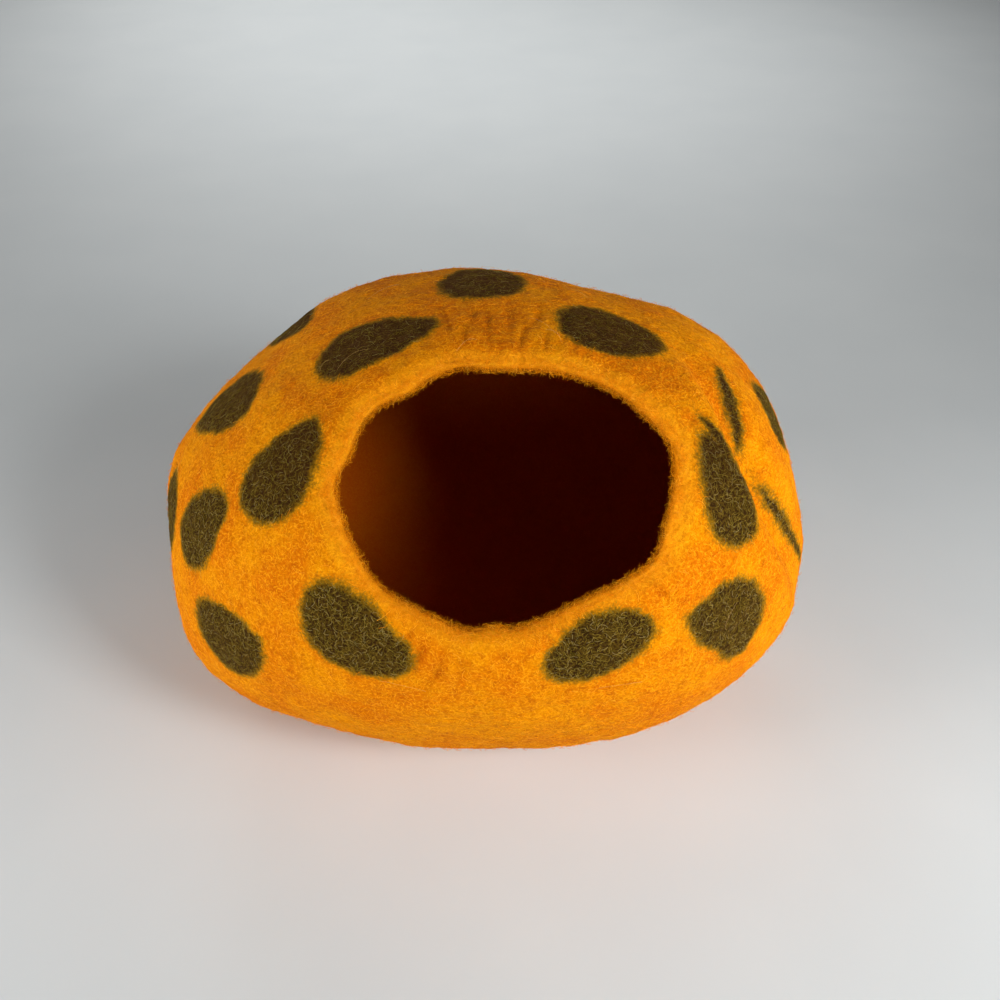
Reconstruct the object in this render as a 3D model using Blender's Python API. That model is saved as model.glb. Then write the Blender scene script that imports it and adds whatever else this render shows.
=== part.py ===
"""Felt cat cave: a hollow, seamless wet-felted shell with one entrance cut through its front shoulder.

The wall is a single thick sheet of wool felt. It was felted round a flat template, cut open once,
and stretched into a low dome while wet, so its form is a little uneven and its right shoulder
carries one soft vertical buckle. It stands on a flat base.

Units are metres, +Z is up, and the entrance faces -Y. The origin is on the ground, under the middle
of the shell. Angles are degrees: a compass angle of 0 is +X, 90 is +Y (the back) and -90 the front.
"""

import bmesh
import bpy
import numpy as np

# ---------------------------------------------------------------- driving sizes
MM = 0.001
TINY = 1e-9                     # keeps a division by a level length of 0 away
WALL = 7.0 * MM                 # thickness of the felt
CHAMBER_HEIGHT = 130.0 * MM     # height of the point that every reach is measured from
BASE_TURN = 20.0 * MM           # how gently the wall turns under into the flat base
SQUARENESS = 2.2                # plan outline at mid height: 2 is an ellipse, more is squarer

# Reach of the outer wall from the chamber's centre, in millimetres, at nine height angles.
WALL_REACH = (
    # height angle, right, back, left, front
    (-90, 165, 165, 165, 165),
    (-60, 182, 180, 182, 170),
    (-40, 200, 188, 202, 168),
    (-20, 226, 199, 229, 182),
    (0, 236, 201, 238, 196),
    (20, 234, 200, 230, 202),
    (40, 219, 194, 207, 200),
    (60, 193, 188, 189, 190),
    (90, 180, 180, 180, 180),
)

# Hand-felted unevenness: soft bulges (push above 0) and hollows (push below 0).
BULGES = (
    # compass angle, height angle, push in millimetres, spread in degrees
    (-8, 13, -4, 10),
    (14, 31, 8, 11),
    (46, 47, -5, 13),
    (98, 58, 4, 12),
    (137, 50, 6, 11),
    (165, 28, -5, 12),
    (-179, 15, 6, 8),
    (-168, 3, -5, 8),
    (-150, -12, 7, 10),
    (-130, -28, -6, 10),
    (-22, -4, 4, 10),
)

# The buckle down the right shoulder: the line of its valley, and its depth in millimetres.
BUCKLE = (
    # height angle, compass angle of the valley, depth
    (-12, -16, 0),
    (-4, -17, 2),
    (4, -20, 6),
    (14, -24, 15),
    (24, -26, 18),
    (34, -23, 15),
    (44, -13, 7),
    (54, 0, 0),
)
BUCKLE_FRONT = 22.0 * MM        # width of the valley's steep flank, towards the entrance
BUCKLE_BACK = 42.0 * MM         # width of its gentle flank, towards the side
BUCKLE_SHARPNESS = 1.5          # how tight its valley is: 1 is a crease, 2 is a round trough
RIDGE_HEIGHT = 0.25             # height of the ridge in front of the valley, as a share of its depth
RIDGE_PLACE = 1.3               # how far in front it stands, as a share of the front flank's width
RIDGE_WIDTH = 0.9               # half its width, as a share of the front flank's width

# The entrance: its axis leaves the chamber's centre forwards and up, and its edge is given as the
# angle from that axis, for turns that run anticlockwise from the right, seen from outside.
ENTRANCE_COMPASS = -84.0
ENTRANCE_HEIGHT = 42.5
ENTRANCE_EDGE = (
    # turn, angle from the axis
    (0, 29.5),
    (30, 31.5),
    (60, 30.0),
    (90, 28.5),
    (120, 29.5),
    (150, 30.5),
    (180, 29.0),
    (210, 25.8),
    (240, 24.5),
    (270, 23.0),
    (300, 22.3),
    (330, 25.3),
)

# How finely the form is drawn.
SEGMENTS = 72                   # round the entrance
RINGS = 36                      # from the entrance's edge to the opposite point of the wall
LIP_STEPS = 4                   # round the rolled edge of the entrance
CROWD_TURN = 5.0                # segments crowd together round this turn, where the buckle lies
CROWDING = 0.3
RING_PLACES = (
    # share of the rings, share of the way to the opposite point: close together at the buckle
    (0.00, 0.00),
    (0.15, 0.09),
    (0.50, 0.34),
    (1.00, 1.00),
)

FELT_COLOUR = (0.87, 0.31, 0.01, 1.0)
FELT_ROUGHNESS = 0.95


# ---------------------------------------------------------------- the form of the wall
def smooth_rows(places, values, at):
    """Read a short table at any place, along a smooth curve through its rows."""
    places = np.asarray(places, float)
    values = np.asarray(values, float)
    steps = np.diff(places)
    climbs = np.diff(values) / steps
    slopes = np.zeros_like(values)
    slopes[1:-1] = (climbs[1:] * steps[:-1] + climbs[:-1] * steps[1:]) / (steps[:-1] + steps[1:])
    at = np.clip(at, places[0], places[-1])
    row = np.clip(np.searchsorted(places, at) - 1, 0, len(places) - 2)
    step = steps[row]
    t = (at - places[row]) / step
    start = (2 * t**3 - 3 * t**2 + 1) * values[row] + (t**3 - 2 * t**2 + t) * step * slopes[row]
    end = (3 * t**2 - 2 * t**3) * values[row + 1] + (t**3 - t**2) * step * slopes[row + 1]
    return start + end


def direction(compass, height):
    """Unit vector for a compass angle and a height angle."""
    compass = np.radians(compass)
    height = np.radians(height)
    level = np.cos(height)
    return np.stack([level * np.cos(compass), level * np.sin(compass), np.sin(height)], -1)


def plain_reach(ways, height):
    """Reach of the wall without its unevenness: four profiles, joined round the plan."""
    right, back, left, front = (
        smooth_rows([row[0] for row in WALL_REACH], [row[side] * MM for row in WALL_REACH], height)
        for side in (1, 2, 3, 4)
    )
    level = np.cos(np.radians(height))
    across = np.abs(ways[..., 0]) / np.maximum(level, TINY)
    along = np.abs(ways[..., 1]) / np.maximum(level, TINY)
    power = 2 + (SQUARENESS - 2) * level**2
    wide = np.where(ways[..., 0] >= 0, right, left)
    deep = np.where(ways[..., 1] >= 0, back, front)
    return ((across / wide) ** power + (along / deep) ** power) ** (-1 / power)


def bulge_push(ways):
    """Sum of the soft bulges and hollows."""
    push = np.zeros(ways.shape[:-1])
    for compass, height, most, spread in BULGES:
        away = np.degrees(np.arccos(np.clip(ways @ direction(compass, height), -1, 1)))
        push += most * MM * np.exp(-0.5 * (away / spread) ** 2)
    return push


def hump(distance):
    """1 at a distance of 0, falling smoothly to 0 at a distance of 1."""
    return np.clip(1 - np.abs(distance) ** BUCKLE_SHARPNESS, 0, None) ** 2


def buckle_push(ways, height, reach):
    """The valley down the right shoulder, and the low ridge that stands in front of it."""
    heights = [row[0] for row in BUCKLE]
    valley = smooth_rows(heights, [row[1] for row in BUCKLE], height)
    depth = smooth_rows(heights, [row[2] * MM for row in BUCKLE], height)
    compass = np.degrees(np.arctan2(ways[..., 1], ways[..., 0]))
    across = np.radians(compass - valley) * np.cos(np.radians(height)) * reach
    flank = np.where(across < 0, BUCKLE_FRONT, BUCKLE_BACK)
    ridge = hump((across / BUCKLE_FRONT + RIDGE_PLACE) / RIDGE_WIDTH)
    return depth * (RIDGE_HEIGHT * ridge - hump(across / flank))


def wall_points(ways):
    """Points of the outer wall in the given directions from the chamber's centre."""
    height = np.degrees(np.arcsin(np.clip(ways[..., 2], -1, 1)))
    reach = plain_reach(ways, height) + bulge_push(ways)
    reach = reach + buckle_push(ways, height, reach)
    points = reach[..., None] * ways
    rise = points[..., 2] + CHAMBER_HEIGHT
    turned = (rise + BASE_TURN) ** 2 / (4 * BASE_TURN)
    points[..., 2] = np.where(rise > BASE_TURN, rise, np.where(rise < -BASE_TURN, 0, turned))
    return points


def wall_reach_at(way):
    """Distance from the chamber's centre to the wall in one direction."""
    point = wall_points(way[None])[0]
    return float(np.linalg.norm(point - (0.0, 0.0, CHAMBER_HEIGHT)))


# ---------------------------------------------------------------- the shell as rings of points
def entrance_rings():
    """Directions of the outer rings, from the entrance's edge to the point opposite it."""
    axis = direction(ENTRANCE_COMPASS, ENTRANCE_HEIGHT)
    right = np.cross((0.0, 0.0, 1.0), axis)
    right /= np.linalg.norm(right)
    up = np.cross(axis, right)
    even = np.arange(SEGMENTS) * 360.0 / SEGMENTS
    turn = even - np.degrees(CROWDING * np.sin(np.radians(even - CROWD_TURN)))
    rows = [(place - 360, angle) for place, angle in ENTRANCE_EDGE[-2:]]
    rows += list(ENTRANCE_EDGE)
    rows += [(place + 360, angle) for place, angle in ENTRANCE_EDGE[:2]]
    edge = smooth_rows([row[0] for row in rows], [row[1] for row in rows], np.mod(turn, 360))
    lip = np.degrees(0.5 * WALL / wall_reach_at(axis))
    counted = np.arange(RINGS) / RINGS
    share = smooth_rows([row[0] for row in RING_PLACES], [row[1] for row in RING_PLACES], counted)
    angle = np.radians(edge + lip + share[:, None] * (180 - edge - lip))
    turn = np.radians(turn)
    sideways = np.cos(turn)[:, None] * right + np.sin(turn)[:, None] * up
    return np.cos(angle)[..., None] * axis + np.sin(angle)[..., None] * sideways, -axis


def ring_normals(rings, far):
    """Outward normals of the rings, from the points on either side of each."""
    ahead = np.concatenate([rings[1:], np.broadcast_to(far, (1,) + rings.shape[1:])])
    behind = np.concatenate([2 * rings[:1] - rings[1:2], rings[:-1]])
    round_ring = np.roll(rings, -1, axis=1) - np.roll(rings, 1, axis=1)
    normals = np.cross(ahead - behind, round_ring)
    return normals / np.linalg.norm(normals, axis=-1, keepdims=True)


def lip_rings(outer_edge, normals, next_ring):
    """The rolled edge: half a turn from the outer wall's edge to the inner wall's."""
    middle = outer_edge - 0.5 * WALL * normals
    inward = outer_edge - next_ring
    inward -= (inward * normals).sum(-1, keepdims=True) * normals
    inward /= np.linalg.norm(inward, axis=-1, keepdims=True)
    rings = []
    for step in range(1, LIP_STEPS):
        angle = np.pi * step / LIP_STEPS
        rings.append(middle + 0.5 * WALL * (np.cos(angle) * normals + np.sin(angle) * inward))
    return rings


def felt_shell():
    """The whole wall as one closed solid: outer face, rolled entrance edge and inner face."""
    ways, far_way = entrance_rings()
    outer = wall_points(ways)
    outer_far = wall_points(far_way[None])[0]
    normals = ring_normals(outer, outer_far)
    inner = outer - WALL * normals
    chamber = np.array((0.0, 0.0, CHAMBER_HEIGHT))
    inner_far = outer_far + WALL * (chamber - outer_far) / np.linalg.norm(chamber - outer_far)
    lip = lip_rings(outer[0], normals[0], outer[1])

    rings = list(outer[::-1]) + lip + list(inner)
    mesh = bmesh.new()
    loops = [[mesh.verts.new(point) for point in ring] for ring in rings]
    outer_pole = mesh.verts.new(outer_far)
    inner_pole = mesh.verts.new(inner_far)
    for here, there in zip(loops[:-1], loops[1:]):
        for k in range(SEGMENTS):
            after = (k + 1) % SEGMENTS
            mesh.faces.new((here[k], here[after], there[after], there[k]))
    for k in range(SEGMENTS):
        after = (k + 1) % SEGMENTS
        mesh.faces.new((loops[0][after], loops[0][k], outer_pole))
        mesh.faces.new((loops[-1][k], loops[-1][after], inner_pole))
    bmesh.ops.triangulate(mesh, faces=mesh.faces[:])
    bmesh.ops.recalc_face_normals(mesh, faces=mesh.faces[:])
    data = bpy.data.meshes.new("felt_shell")
    mesh.to_mesh(data)
    mesh.free()
    data.shade_smooth()
    return data


def wool_felt():
    """Thick orange wool felt, fully matt."""
    material = bpy.data.materials.new("wool_felt_orange")
    material.use_nodes = True
    shader = material.node_tree.nodes["Principled BSDF"]
    shader.inputs["Base Color"].default_value = FELT_COLOUR
    shader.inputs["Roughness"].default_value = FELT_ROUGHNESS
    shader.inputs["Metallic"].default_value = 0.0
    return material


def clear_scene():
    """Start from an empty scene."""
    for item in list(bpy.data.objects):
        bpy.data.objects.remove(item)


clear_scene()
shell = bpy.data.objects.new("felt_shell", felt_shell())
shell.data.materials.append(wool_felt())
bpy.context.scene.collection.objects.link(shell)
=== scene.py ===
"""Felt cat cave: one thick, hollow sheet of orange wool, wet-felted, with dark brown spots in it.

The sections follow the object as it is made: the view and the light it is seen in, the wall, the
spots laid into it, the loose wool that stands off it, and the floor.
"""

import math

import bpy
import numpy as np
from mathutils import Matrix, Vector, noise


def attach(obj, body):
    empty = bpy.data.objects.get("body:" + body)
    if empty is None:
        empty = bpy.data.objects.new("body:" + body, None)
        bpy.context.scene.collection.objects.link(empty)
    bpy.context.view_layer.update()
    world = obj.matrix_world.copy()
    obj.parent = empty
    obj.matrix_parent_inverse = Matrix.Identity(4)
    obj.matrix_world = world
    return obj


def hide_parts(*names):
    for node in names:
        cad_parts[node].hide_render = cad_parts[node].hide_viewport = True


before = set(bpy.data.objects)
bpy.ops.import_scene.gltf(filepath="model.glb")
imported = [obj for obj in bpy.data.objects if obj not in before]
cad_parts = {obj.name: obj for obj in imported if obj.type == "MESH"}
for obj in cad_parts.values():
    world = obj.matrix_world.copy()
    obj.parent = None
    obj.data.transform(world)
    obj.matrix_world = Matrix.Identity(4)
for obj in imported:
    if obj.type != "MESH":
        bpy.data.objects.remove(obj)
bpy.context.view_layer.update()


# ---------------------------------------------------------------- the view
# A camera in front of the cave and above it, looking down into the entrance. It stands a little to
# the right of the middle.
VIEW_LENS_MM = 39.6
VIEW_SENSOR_MM = 36.0
VIEW_TARGET = Vector((0.0117, 0.0, 0.15))
VIEW_DISTANCE = 0.841
VIEW_DOWN = math.radians(38.0)

camera_data = bpy.data.cameras.new("view")
camera_data.lens = VIEW_LENS_MM
camera_data.sensor_width = VIEW_SENSOR_MM
camera = bpy.data.objects.new("view", camera_data)
towards_camera = Vector((0.0, -math.cos(VIEW_DOWN), math.sin(VIEW_DOWN)))
camera.location = VIEW_TARGET + VIEW_DISTANCE * towards_camera
camera.rotation_euler = towards_camera.to_track_quat("Z", "Y").to_euler()
bpy.context.scene.collection.objects.link(camera)
bpy.context.scene.camera = camera


# ---------------------------------------------------------------- the light
# Soft boxes low down on both sides, in front and behind, and a small one higher up on the right
# that reaches into the entrance. The room is pale round the horizon and dim overhead, so the sides
# and the rolled edge are bright and the crown is darker. One lamp lights the floor behind.
SOFT_BOXES = (
    # place, size, watts
    ((-1.45, -0.6, 0.43), 0.7, 9.2),
    ((1.4, -0.55, 0.46), 0.7, 6.0),
    ((0.9, -1.0, 1.0), 0.4, 6.8),
    ((0.1, -1.5, 0.36), 0.5, 1.0),
    ((-0.9, 3.2, 1.1), 1.0, 8.8),
)
SOFT_BOX_GRID = math.radians(120.0)     # a grid keeps each box's light off the floor beside it
FLOOR_LAMP_PLACE = (0.0, 1.6, 2.2)
FLOOR_LAMP_AIM = (0.0, 1.9, 0.0)
FLOOR_LAMP_WATTS = 110.0
FLOOR_LAMP_CONE = math.radians(80.0)
FLOOR_LAMP_SIZE = 0.2
ROOM_HORIZON = 0.45
ROOM_OVERHEAD = 0.07
ROOM_BAND = (0.05, 0.4)         # the sine of the heights between which the room turns dim


def hang_light(kind, place, aim, watts):
    """One light of that kind, pointing at a place."""
    data = bpy.data.lights.new(kind.lower() + "_light", kind)
    data.energy = watts
    light = bpy.data.objects.new(data.name, data)
    light.location = place
    light.rotation_euler = (Vector(place) - Vector(aim)).to_track_quat("Z", "Y").to_euler()
    bpy.context.scene.collection.objects.link(light)
    return data


def add(tree, kind, settings=None, inputs=None):
    """Add one node: its settings, then its inputs by name or in order, as values or as links."""
    node = tree.nodes.new(kind)
    for name, value in (settings or {}).items():
        setattr(node, name, value)
    if isinstance(inputs, tuple):
        inputs = dict(enumerate(inputs))
    for name, value in (inputs or {}).items():
        if isinstance(value, bpy.types.Node):
            value = value.outputs[0]
        if isinstance(value, bpy.types.NodeSocket):
            tree.links.new(value, node.inputs[name])
        else:
            node.inputs[name].default_value = value
    return node


for place, size, watts in SOFT_BOXES:
    soft_box = hang_light("AREA", place, VIEW_TARGET, watts)
    soft_box.size = size
    soft_box.spread = SOFT_BOX_GRID
floor_lamp = hang_light("SPOT", FLOOR_LAMP_PLACE, FLOOR_LAMP_AIM, FLOOR_LAMP_WATTS)
floor_lamp.spot_size = FLOOR_LAMP_CONE
floor_lamp.spot_blend = 1.0
floor_lamp.shadow_soft_size = FLOOR_LAMP_SIZE

room = bpy.data.worlds.new("room")
room.use_nodes = True
room_tree = room.node_tree
room_way = add(room_tree, "ShaderNodeTexCoord").outputs["Generated"]
room_height = add(room_tree, "ShaderNodeSeparateXYZ", None, (room_way,)).outputs["Z"]
room_light = add(
    room_tree,
    "ShaderNodeMapRange",
    {"interpolation_type": "SMOOTHSTEP"},
    (room_height, *ROOM_BAND, ROOM_HORIZON, ROOM_OVERHEAD),
)
room_walls = room_tree.nodes["Background"]
room_walls.inputs["Color"].default_value = (1.0, 1.0, 1.0, 1.0)
room_tree.links.new(room_light.outputs["Result"], room_walls.inputs["Strength"])
bpy.context.scene.world = room
bpy.context.scene.view_settings.view_transform = "Standard"


# ---------------------------------------------------------------- the wall
# One sheet of orange wool, wet-felted round a flat template, cut open once and stretched into a low
# dome. Its form is hand-made: soft bulges, one buckle down the right shoulder, small puckers round
# the cut, and the lumps that felting leaves. Millimetres and degrees; compass 90 is the back.
MM = 0.001
TINY = 1e-9
WALL = 7.0 * MM
CHAMBER_HEIGHT = 130.0 * MM     # the point inside that all angles are counted from
BASE_TURN = 20.0 * MM           # the wall turns under to the flat base over twice this height
SQUARENESS = 2.2                # 2 is an ellipse in plan
WALL_REACH = (
    # height angle, reach of the wall to the right, back, left and front
    (-90, 165, 165, 165, 165),
    (-60, 182, 180, 182, 170),
    (-40, 200, 188, 202, 168),
    (-20, 226, 199, 229, 182),
    (0, 236, 201, 238, 196),
    (20, 234, 200, 230, 202),
    (40, 219, 194, 207, 200),
    (60, 193, 188, 189, 190),
    (90, 180, 180, 180, 180),
)
BULGES = (
    # compass angle, height angle, push in millimetres, spread in degrees
    (-8, 13, -4, 10),
    (14, 31, 8, 11),
    (46, 47, -5, 13),
    (98, 58, 4, 12),
    (137, 50, 6, 11),
    (165, 28, -5, 12),
    (-179, 15, 6, 8),
    (-168, 3, -5, 8),
    (-150, -12, 7, 10),
    (-130, -28, -6, 10),
    (-22, -4, 4, 10),
)
HAND_MARKS = (
    # compass angle, height angle, push in millimetres, spread in degrees: smaller than the bulges
    (9, 33, -8, 9),
    (-11, -4, 3, 11),
    (-17, -3, 1.6, 6),
    (-24, 1, -1.4, 5),
    (128, 62, -3, 9),
    (-97, -8, -2, 8),
    (-60, -14, 2, 7),
    (60, 12, -4, 9),
    (88, -10, 4, 9),
    (112, 30, -4, 8),
)
BUCKLE = (
    # height angle, compass angle of the valley, depth of the valley
    (-12, -16, 0),
    (-4, -17, 2),
    (4, -20, 6),
    (14, -24, 15),
    (24, -26, 18),
    (34, -23, 15),
    (44, -13, 7),
    (54, 0, 0),
)
BUCKLE_FRONT = 22.0 * MM        # width of the valley's steep front flank
BUCKLE_BACK = 42.0 * MM
BUCKLE_SHARPNESS = 1.5
RIDGE_HEIGHT = 0.25             # the ridge in front, as a share of the valley's depth
RIDGE_PLACE = 1.3               # and its place and half width, as shares of the front flank
RIDGE_WIDTH = 0.9
ENTRANCE_COMPASS = -84.0        # the entrance's axis
ENTRANCE_HEIGHT = 42.5
ENTRANCE_EDGE = (
    # turn round the entrance, angle of the edge from its axis
    (0, 29.5),
    (30, 31.5),
    (60, 30.0),
    (90, 28.5),
    (120, 29.5),
    (150, 30.5),
    (180, 29.0),
    (210, 25.8),
    (240, 24.5),
    (270, 23.0),
    (300, 22.3),
    (330, 25.3),
)
EDGE_STRAYS = (
    # turn, how far the cut strays outwards from the edge above, in millimetres
    (0, 1.8),
    (14, 7.0),
    (30, 4.6),
    (45, 7.8),
    (70, 6.0),
    (90, 5.2),
    (100, 11.0),
    (110, 10.0),
    (124, 3.2),
    (142, 8.0),
    (156, 1.4),
    (172, 4.8),
    (180, 1.4),
    (193, 0.8),
    (208, 3.8),
    (236, -0.4),
    (250, 2.4),
    (262, -0.4),
    (272, 0.6),
    (290, -0.2),
    (308, -0.4),
    (322, 3.0),
    (336, 7.4),
    (350, 1.6),
)
PUCKERS = (
    # turn round the entrance, distance of its middle from the edge, length, width, depth
    (57, 34, 40, 5, 0.8),
    (61, 20, 26, 4, 0.8),
    (66, 44, 40, 6, 1.2),
    (70, 22, 28, 4, 1.0),
    (74, 50, 44, 5, 1.1),
    (78, 28, 40, 4, 1.3),
    (82, 46, 46, 6, 1.4),
    (86, 20, 28, 4, 1.0),
    (89, 36, 50, 5, 1.5),
    (93, 52, 40, 6, 1.2),
    (97, 24, 32, 4, 1.2),
    (101, 42, 48, 5, 1.4),
    (105, 20, 26, 4, 0.9),
    (109, 34, 46, 6, 1.1),
    (114, 50, 36, 5, 0.9),
    (118, 26, 32, 5, 0.8),
    (232, 18, 26, 6, 1.3),
    (238, 24, 36, 6, 1.9),
    (245, 30, 44, 6, 1.6),
    (252, 20, 26, 5, 1.2),
    (284, 18, 28, 6, 1.3),
    (290, 24, 36, 6, 1.8),
    (297, 18, 28, 5, 1.4),
    (20, 22, 26, 6, 1.0),
    (200, 20, 28, 6, 1.0),
    (326, 18, 24, 5, 1.0),
)
PUCKER_BEND = 0.18              # how far a pucker strays sideways, as a share of its width
PUCKER_BEND_LENGTH = 6.0 * MM
PUCKER_UNEVEN = (1.2, 0.4)      # a pucker's depth as a share: its middle and how far it changes
PUCKER_WAVES = (2.3 * MM, 5.1 * MM)
PUCKER_FAN = 27.0               # about the angle of the edge from the axis
EDGE_ROLL = 4.5 * MM            # how far the cut edge rolls inwards
EDGE_ROLL_WIDTH = 16.0 * MM
INNER_ROLL = 0.6                # how far the inner face follows that roll
SEGMENTS = 336                  # points in each ring round the entrance's axis
OUTER_RINGS = 212
INNER_RINGS = 60
LIP_STEPS = 8
CROWD_TURN = 5.0                # the points crowd together on this side, towards the buckle
CROWDING = 0.3
RING_PLACES = ((0.00, 0.00), (0.15, 0.09), (0.50, 0.34), (1.00, 1.00))     # closer near the cut
BASE_FADE = 12.0 * MM           # the lumps fade out over this height, so the base stays flat
OUTER_SEED = 1
INNER_SEED = 40
EDGE_SEED = 80
LUMPS = (
    # size across and height of the lumps that felting leaves, in millimetres
    (34, 1.0),
    (14, 0.8),
    (7.5, 0.65),
)


def smooth_rows(places, values, at):
    """Read a short table at any place, along a smooth curve through its rows."""
    places = np.asarray(places, float)
    values = np.asarray(values, float)
    steps = np.diff(places)
    climbs = np.diff(values) / steps
    slopes = np.zeros_like(values)
    slopes[1:-1] = (climbs[1:] * steps[:-1] + climbs[:-1] * steps[1:]) / (steps[:-1] + steps[1:])
    at = np.clip(at, places[0], places[-1])
    row = np.clip(np.searchsorted(places, at) - 1, 0, len(places) - 2)
    step = steps[row]
    t = (at - places[row]) / step
    start = (2 * t**3 - 3 * t**2 + 1) * values[row] + (t**3 - 2 * t**2 + t) * step * slopes[row]
    end = (3 * t**2 - 2 * t**3) * values[row + 1] + (t**3 - t**2) * step * slopes[row + 1]
    return start + end


def closed_rows(table, turn):
    """Read a table that runs once round a circle, at any turn."""
    rows = [(place - 360, value) for place, value in table[-2:]]
    rows += list(table)
    rows += [(place + 360, value) for place, value in table[:2]]
    return smooth_rows([row[0] for row in rows], [row[1] for row in rows], np.mod(turn, 360))


def direction(compass, height):
    """Unit vector for a compass angle and a height angle."""
    compass = np.radians(compass)
    height = np.radians(height)
    level = np.cos(height)
    return np.stack([level * np.cos(compass), level * np.sin(compass), np.sin(height)], -1)


def plain_reach(ways, height):
    """Reach of the wall without its unevenness: four profiles, joined round the plan."""
    right, back, left, front = (
        smooth_rows([row[0] for row in WALL_REACH], [row[side] * MM for row in WALL_REACH], height)
        for side in (1, 2, 3, 4)
    )
    level = np.cos(np.radians(height))
    across = np.abs(ways[..., 0]) / np.maximum(level, TINY)
    along = np.abs(ways[..., 1]) / np.maximum(level, TINY)
    power = 2 + (SQUARENESS - 2) * level**2
    wide = np.where(ways[..., 0] >= 0, right, left)
    deep = np.where(ways[..., 1] >= 0, back, front)
    return ((across / wide) ** power + (along / deep) ** power) ** (-1 / power)


def bulge_push(ways):
    """Sum of the soft bulges and hollows."""
    push = np.zeros(ways.shape[:-1])
    for compass, height, most, spread in BULGES + HAND_MARKS:
        away = np.degrees(np.arccos(np.clip(ways @ direction(compass, height), -1, 1)))
        push += most * MM * np.exp(-0.5 * (away / spread) ** 2)
    return push


def hump(distance):
    """1 at a distance of 0, falling smoothly to 0 at a distance of 1."""
    return np.clip(1 - np.abs(distance) ** BUCKLE_SHARPNESS, 0, None) ** 2


def buckle_push(ways, height, reach):
    """The valley down the right shoulder, and the low ridge that stands in front of it."""
    heights = [row[0] for row in BUCKLE]
    valley = smooth_rows(heights, [row[1] for row in BUCKLE], height)
    depth = smooth_rows(heights, [row[2] * MM for row in BUCKLE], height)
    compass = np.degrees(np.arctan2(ways[..., 1], ways[..., 0]))
    across = np.radians(compass - valley) * np.cos(np.radians(height)) * reach
    flank = np.where(across < 0, BUCKLE_FRONT, BUCKLE_BACK)
    ridge = hump((across / BUCKLE_FRONT + RIDGE_PLACE) / RIDGE_WIDTH)
    return depth * (RIDGE_HEIGHT * ridge - hump(across / flank))


def wall_points(ways):
    """Points of the outer wall in the given directions from the chamber's centre."""
    height = np.degrees(np.arcsin(np.clip(ways[..., 2], -1, 1)))
    reach = plain_reach(ways, height) + bulge_push(ways)
    reach = reach + buckle_push(ways, height, reach)
    points = reach[..., None] * ways
    rise = points[..., 2] + CHAMBER_HEIGHT
    turned = (rise + BASE_TURN) ** 2 / (4 * BASE_TURN)
    points[..., 2] = np.where(rise > BASE_TURN, rise, np.where(rise < -BASE_TURN, 0, turned))
    return points


def entrance_rings(rings):
    """Directions of the outer rings, from the entrance's edge to the point opposite it."""
    axis = direction(ENTRANCE_COMPASS, ENTRANCE_HEIGHT)
    right = np.cross((0.0, 0.0, 1.0), axis)
    right /= np.linalg.norm(right)
    up = np.cross(axis, right)
    even = np.arange(SEGMENTS) * 360.0 / SEGMENTS
    turn = even - np.degrees(CROWDING * np.sin(np.radians(even - CROWD_TURN)))
    reach = np.linalg.norm(wall_points(axis[None])[0] - (0.0, 0.0, CHAMBER_HEIGHT))
    edge = closed_rows(ENTRANCE_EDGE, turn)
    edge = edge + np.degrees(closed_rows(EDGE_STRAYS, turn) * MM / reach)
    lip = np.degrees(0.5 * WALL / reach)
    counted = np.arange(rings) / rings
    share = smooth_rows([row[0] for row in RING_PLACES], [row[1] for row in RING_PLACES], counted)
    angle = np.radians(edge + lip + share[:, None] * (180 - edge - lip))
    radians = np.radians(turn)
    sideways = np.cos(radians)[:, None] * right + np.sin(radians)[:, None] * up
    ways = np.cos(angle)[..., None] * axis + np.sin(angle)[..., None] * sideways
    from_edge = np.degrees(angle) - edge - lip
    return ways, -axis, np.broadcast_to(np.mod(turn, 360), from_edge.shape), from_edge


def ring_normals(rings, far):
    """Outward normals of the rings, from the points on either side of each."""
    ahead = np.concatenate([rings[1:], np.broadcast_to(far, (1,) + rings.shape[1:])])
    behind = np.concatenate([2 * rings[:1] - rings[1:2], rings[:-1]])
    round_ring = np.roll(rings, -1, axis=1) - np.roll(rings, 1, axis=1)
    normals = np.cross(ahead - behind, round_ring)
    return normals / np.linalg.norm(normals, axis=-1, keepdims=True)


def lumps(points, seed):
    """Height of the felt's lumps at the points: the same wool gives the same lumps every time."""
    height = np.zeros(len(points))
    for size, most in LUMPS:
        for k, point in enumerate(points / (size * MM)):
            height[k] += most * MM * noise.noise(Vector(point) + Vector((seed, size, 0)))
    return height


def edge_roll(along):
    """How far the sheet rolls inwards near the cut."""
    return EDGE_ROLL * np.clip(1 - along / EDGE_ROLL_WIDTH, 0, 1) ** 2


def pucker_push(turn, from_edge, reach):
    """Small troughs that run from the cut edge, where the felt was eased round it."""
    along = np.radians(from_edge) * reach
    push = np.zeros(along.shape)
    ring = np.sin(np.radians(from_edge + PUCKER_FAN)) * reach
    short_wave = np.sin(along / PUCKER_WAVES[0] + 0.9 * turn)
    long_wave = np.sin(along / PUCKER_WAVES[1] - 0.4 * turn)
    unevenness = PUCKER_UNEVEN[0] + PUCKER_UNEVEN[1] * short_wave * long_wave
    for place, middle, length, width, depth in PUCKERS:
        aside = np.radians((turn - place + 180) % 360 - 180) * ring
        aside = aside + PUCKER_BEND * width * MM * np.sin(along / PUCKER_BEND_LENGTH + place)
        far = (along - middle * MM) / (0.5 * length * MM)
        near = np.exp(-((aside / (0.5 * width * MM)) ** 2) - far**2)
        push -= depth * MM * unevenness * near
    return push


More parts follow.
